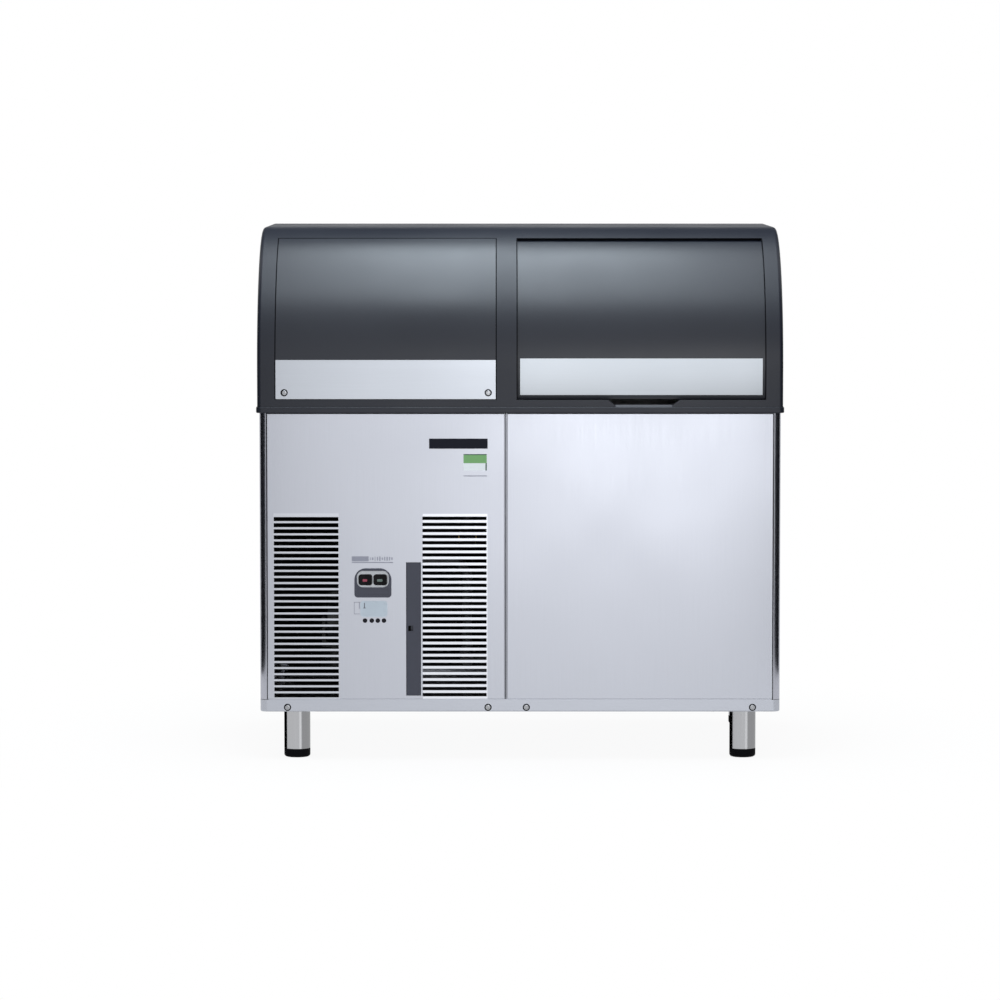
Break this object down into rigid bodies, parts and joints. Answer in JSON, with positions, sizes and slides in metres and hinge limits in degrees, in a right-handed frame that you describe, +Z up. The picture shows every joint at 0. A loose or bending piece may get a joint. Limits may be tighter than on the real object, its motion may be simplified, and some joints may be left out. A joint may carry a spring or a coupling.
{
  "type": "ice cube machine",
  "caption": "Self-contained ice cube machine: steel cabinet on legs, curved hood with a sliding bin door, louvred service panel, pull-out filter and rocker switches.",
  "frame": {"origin": "middle of the footprint on the floor, under the feet", "axes": "+Z up, -Y the front with the door and grilles, +X to the right seen from the front"},
  "size_m": [0.961, 0.611, 0.97],
  "materials": {
    "steel_panel": "brushed stainless steel",
    "steel_trim": "satin stainless steel strip",
    "tray_steel": "brushed stainless steel",
    "zinc_sheet": "galvanised sheet",
    "screw_steel": "plated screw",
    "hood_plastic": "slate grey moulded plastic, satin",
    "black_plastic": "black plastic",
    "grey_plastic": "grey plastic",
    "dark_plastic": "dark grey plastic",
    "white_plastic": "white food-safe plastic",
    "foam": "rigid insulation foam",
    "copper": "copper tube",
    "tinned_copper": "tinned copper",
    "brass": "machined brass",
    "black_enamel": "black enamel",
    "fin_aluminium": "aluminium fins",
    "rubber": "black rubber",
    "lens_dark": "smoked light pipe"
  },
  "bodies": {
    "cabinet": {"base_tray": "tray_steel", "side_panel_left": "steel_panel", "side_panel_right": "steel_panel", "front_panel_left": "steel_panel", "front_panel_right": "steel_panel", "centre_post": "grey_plastic", "rear_panel": "zinc_sheet", "cabinet_screws": "screw_steel", "hood": "hood_plastic", "fixed_panel": "hood_plastic", "fixed_panel_trim": "steel_trim", "door_rail_left": "black_plastic", "door_rail_right": "black_plastic", "bin_foam": "foam", "bin_liner": "white_plastic", "bin_drain_hose": "grey_plastic", "freeze_chamber": "white_plastic", "chamber_shelf": "zinc_sheet", "evaporator": "tinned_copper", "evaporator_coil": "copper", "evaporator_cover": "white_plastic", "spray_bar": "grey_plastic", "ice_slide": "white_plastic", "curtain_rod": "steel_trim", "water_pump": "black_plastic", "standpipe": "grey_plastic", "sump_hose": "grey_plastic", "drain_spigot": "grey_plastic", "inlet_valve": "brass", "cable_gland": "black_plastic", "compressor": "black_enamel", "compressor_mounts": "rubber", "condenser": "fin_aluminium", "fan_shroud": "zinc_sheet", "fan_motor": "black_enamel", "filter_guide": "zinc_sheet", "hot_gas_valve": "brass", "drier": "copper", "discharge_tube": "copper", "suction_tube": "copper", "liquid_tube": "copper", "control_box": "grey_plastic", "control_bezel": "dark_plastic", "switch_frame": "grey_plastic", "status_lenses": "lens_dark", "legs": "steel_trim"},
    "door": {"door_panel": "hood_plastic", "door_trim": "steel_trim", "door_glides": "white_plastic"},
    "fan": {"fan": "fin_aluminium"},
    "filter": {"filter_cassette": "dark_plastic"},
    "left_rocker": {"rocker_left": "black_plastic"},
    "right_rocker": {"rocker_right": "black_plastic"},
    "flap_1": {"curtain_flap_1": "white_plastic"},
    "flap_2": {"curtain_flap_2": "white_plastic"},
    "flap_3": {"curtain_flap_3": "white_plastic"},
    "front_left_foot": {"foot_front_left": "black_plastic"},
    "front_right_foot": {"foot_front_right": "black_plastic"},
    "rear_left_foot": {"foot_rear_left": "black_plastic"},
    "rear_right_foot": {"foot_rear_right": "black_plastic"}
  },
  "joints": [
    {"name": "door_swing", "type": "hinge", "parent": "cabinet", "child": "door", "pos_m": [0.2205, -0.0495, 0.716], "axis": [-1, 0, 0], "range_deg": [0, 78]},
    {"name": "fan_spin", "type": "hinge", "parent": "cabinet", "child": "fan", "pos_m": [-0.276, -0.151, 0.242], "axis": [1, 0, 0], "continuous": true},
    {"name": "filter_slide", "type": "slide", "parent": "cabinet", "child": "filter", "axis": [0, -1, 0], "range_m": [0, 0.2142]},
    {"name": "left_rocker_tilt", "type": "hinge", "parent": "cabinet", "child": "left_rocker", "pos_m": [-0.282, -0.2965, 0.3324], "axis": [0, 0, 1], "range_deg": [0, 12]},
    {"name": "right_rocker_tilt", "type": "hinge", "parent": "cabinet", "child": "right_rocker", "pos_m": [-0.2548, -0.2965, 0.3324], "axis": [0, 0, 1], "range_deg": [0, 12]},
    {"name": "flap_1_swing", "type": "hinge", "parent": "cabinet", "child": "flap_1", "pos_m": [-0.0191, -0.09167, 0.79], "axis": [0, -1, 0], "range_deg": [0, 60]},
    {"name": "flap_2_swing", "type": "hinge", "parent": "cabinet", "child": "flap_2", "pos_m": [-0.0191, 0.025, 0.79], "axis": [0, -1, 0], "range_deg": [0, 60]},
    {"name": "flap_3_swing", "type": "hinge", "parent": "cabinet", "child": "flap_3", "pos_m": [-0.0191, 0.14167, 0.79], "axis": [0, -1, 0], "range_deg": [0, 60]},
    {"name": "front_left_foot_screw", "type": "slide", "parent": "cabinet", "child": "front_left_foot", "axis": [0, 0, -1], "range_m": [0, 0.02]},
    {"name": "front_right_foot_screw", "type": "slide", "parent": "cabinet", "child": "front_right_foot", "axis": [0, 0, -1], "range_m": [0, 0.02]},
    {"name": "rear_left_foot_screw", "type": "slide", "parent": "cabinet", "child": "rear_left_foot", "axis": [0, 0, -1], "range_m": [0, 0.02]},
    {"name": "rear_right_foot_screw", "type": "slide", "parent": "cabinet", "child": "rear_right_foot", "axis": [0, 0, -1], "range_m": [0, 0.02]}
  ]
}
